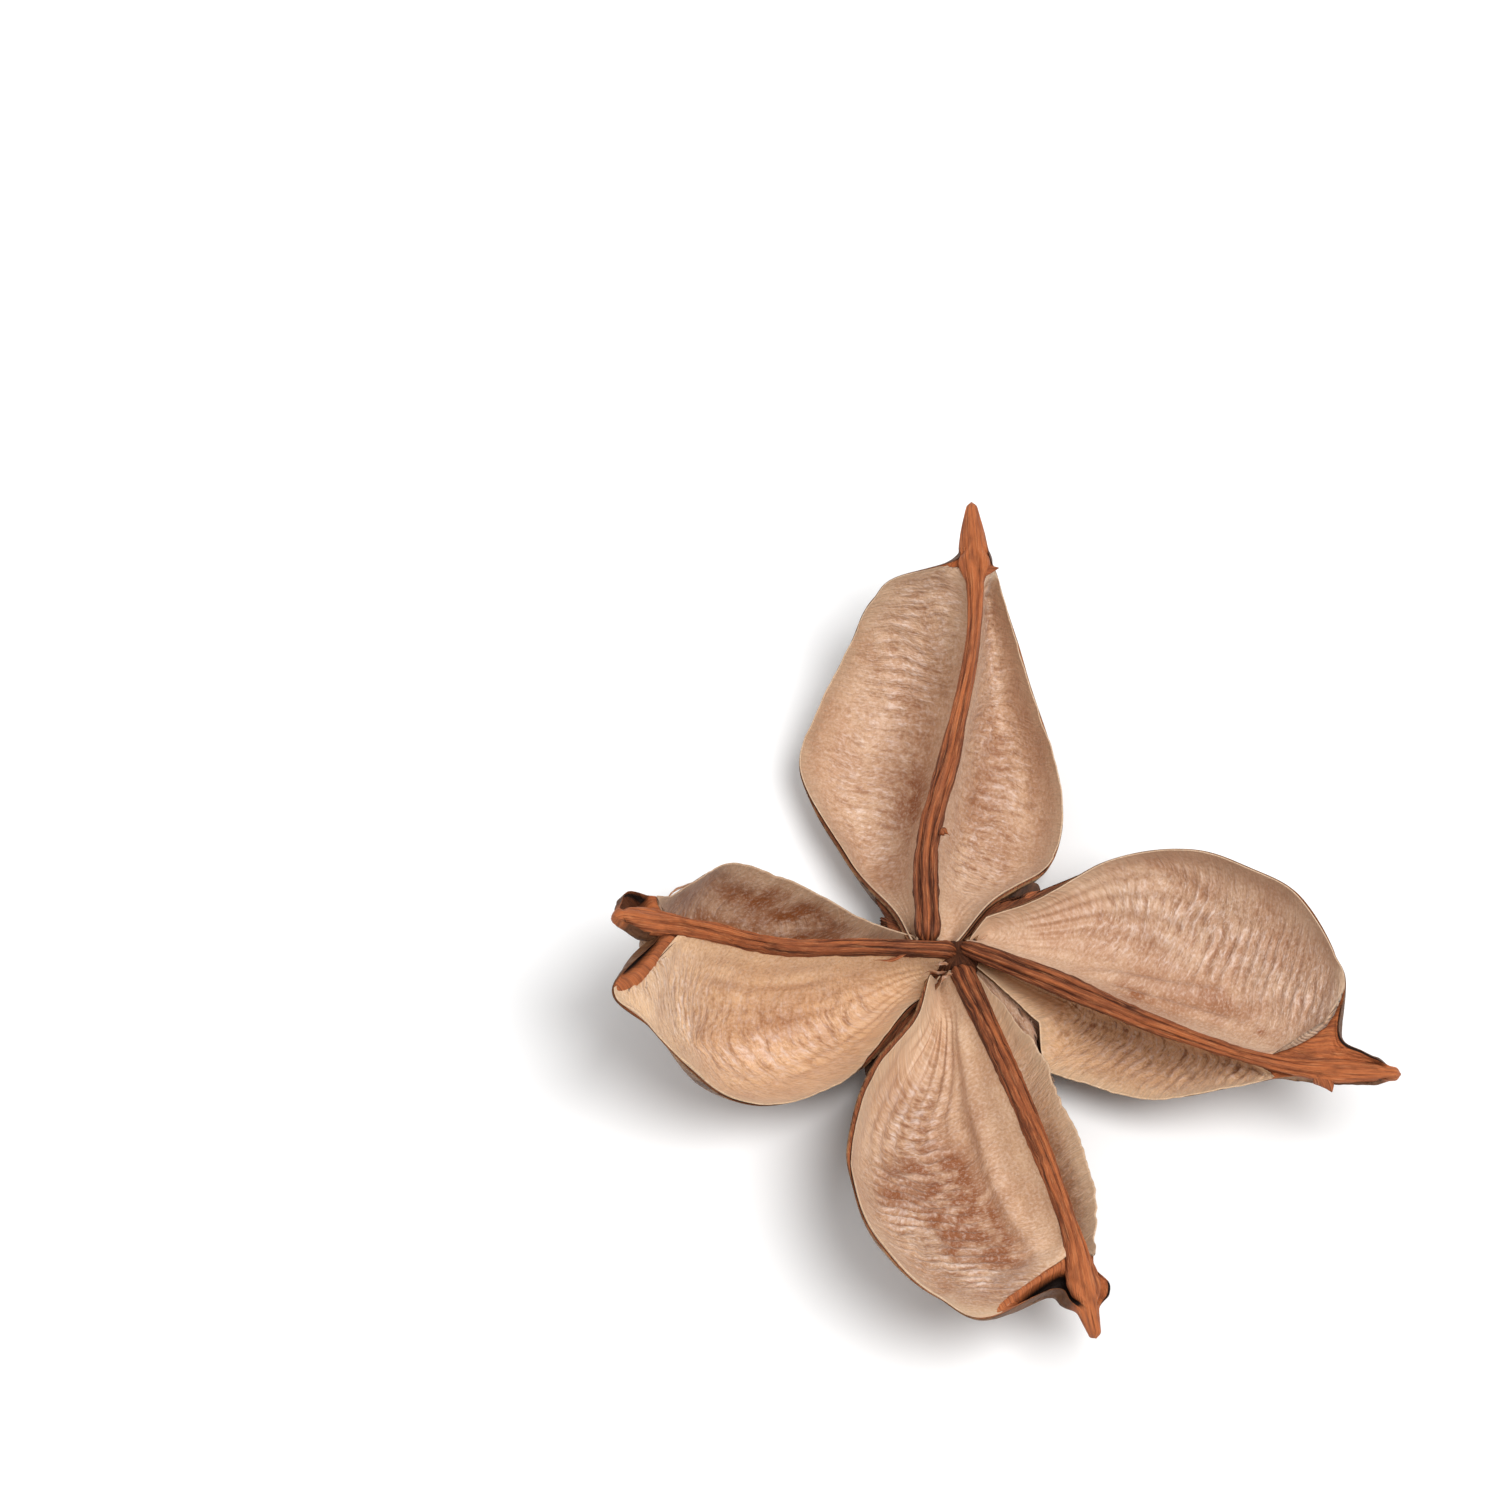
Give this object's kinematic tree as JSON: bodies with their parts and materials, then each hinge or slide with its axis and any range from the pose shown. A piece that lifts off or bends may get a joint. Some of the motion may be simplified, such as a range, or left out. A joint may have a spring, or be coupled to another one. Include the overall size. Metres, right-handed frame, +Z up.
{
  "type": "cotton boll",
  "caption": "Dried, opened and empty cotton boll: a woody burr of valves spread like petals, with pale papery linings, lying on its back.",
  "frame": {"origin": "middle of the bounding box on the ground that the opened boll lies on", "axes": "+Z up out of the open side of the boll, +Y along the valve that points away from the viewer, +X to the right"},
  "size_m": [0.078, 0.0908, 0.028],
  "materials": {
    "dry_burr": "dry reddish brown seed pod wall, fibrous and matt",
    "dry_calyx": "dark brown dried calyx and cut stalk, matt",
    "papery_lining": "pale beige papery skin with a soft silky sheen and fine wrinkles"
  },
  "bodies": {
    "root": {"burr": "dry_burr", "calyx": "dry_calyx", "lining_north_left": "papery_lining", "lining_north_right": "papery_lining", "lining_east_left": "papery_lining", "lining_east_right": "papery_lining", "lining_south_left": "papery_lining", "lining_south_right": "papery_lining", "lining_west_left": "papery_lining", "lining_west_right": "papery_lining"}
  },
  "joints": []
}
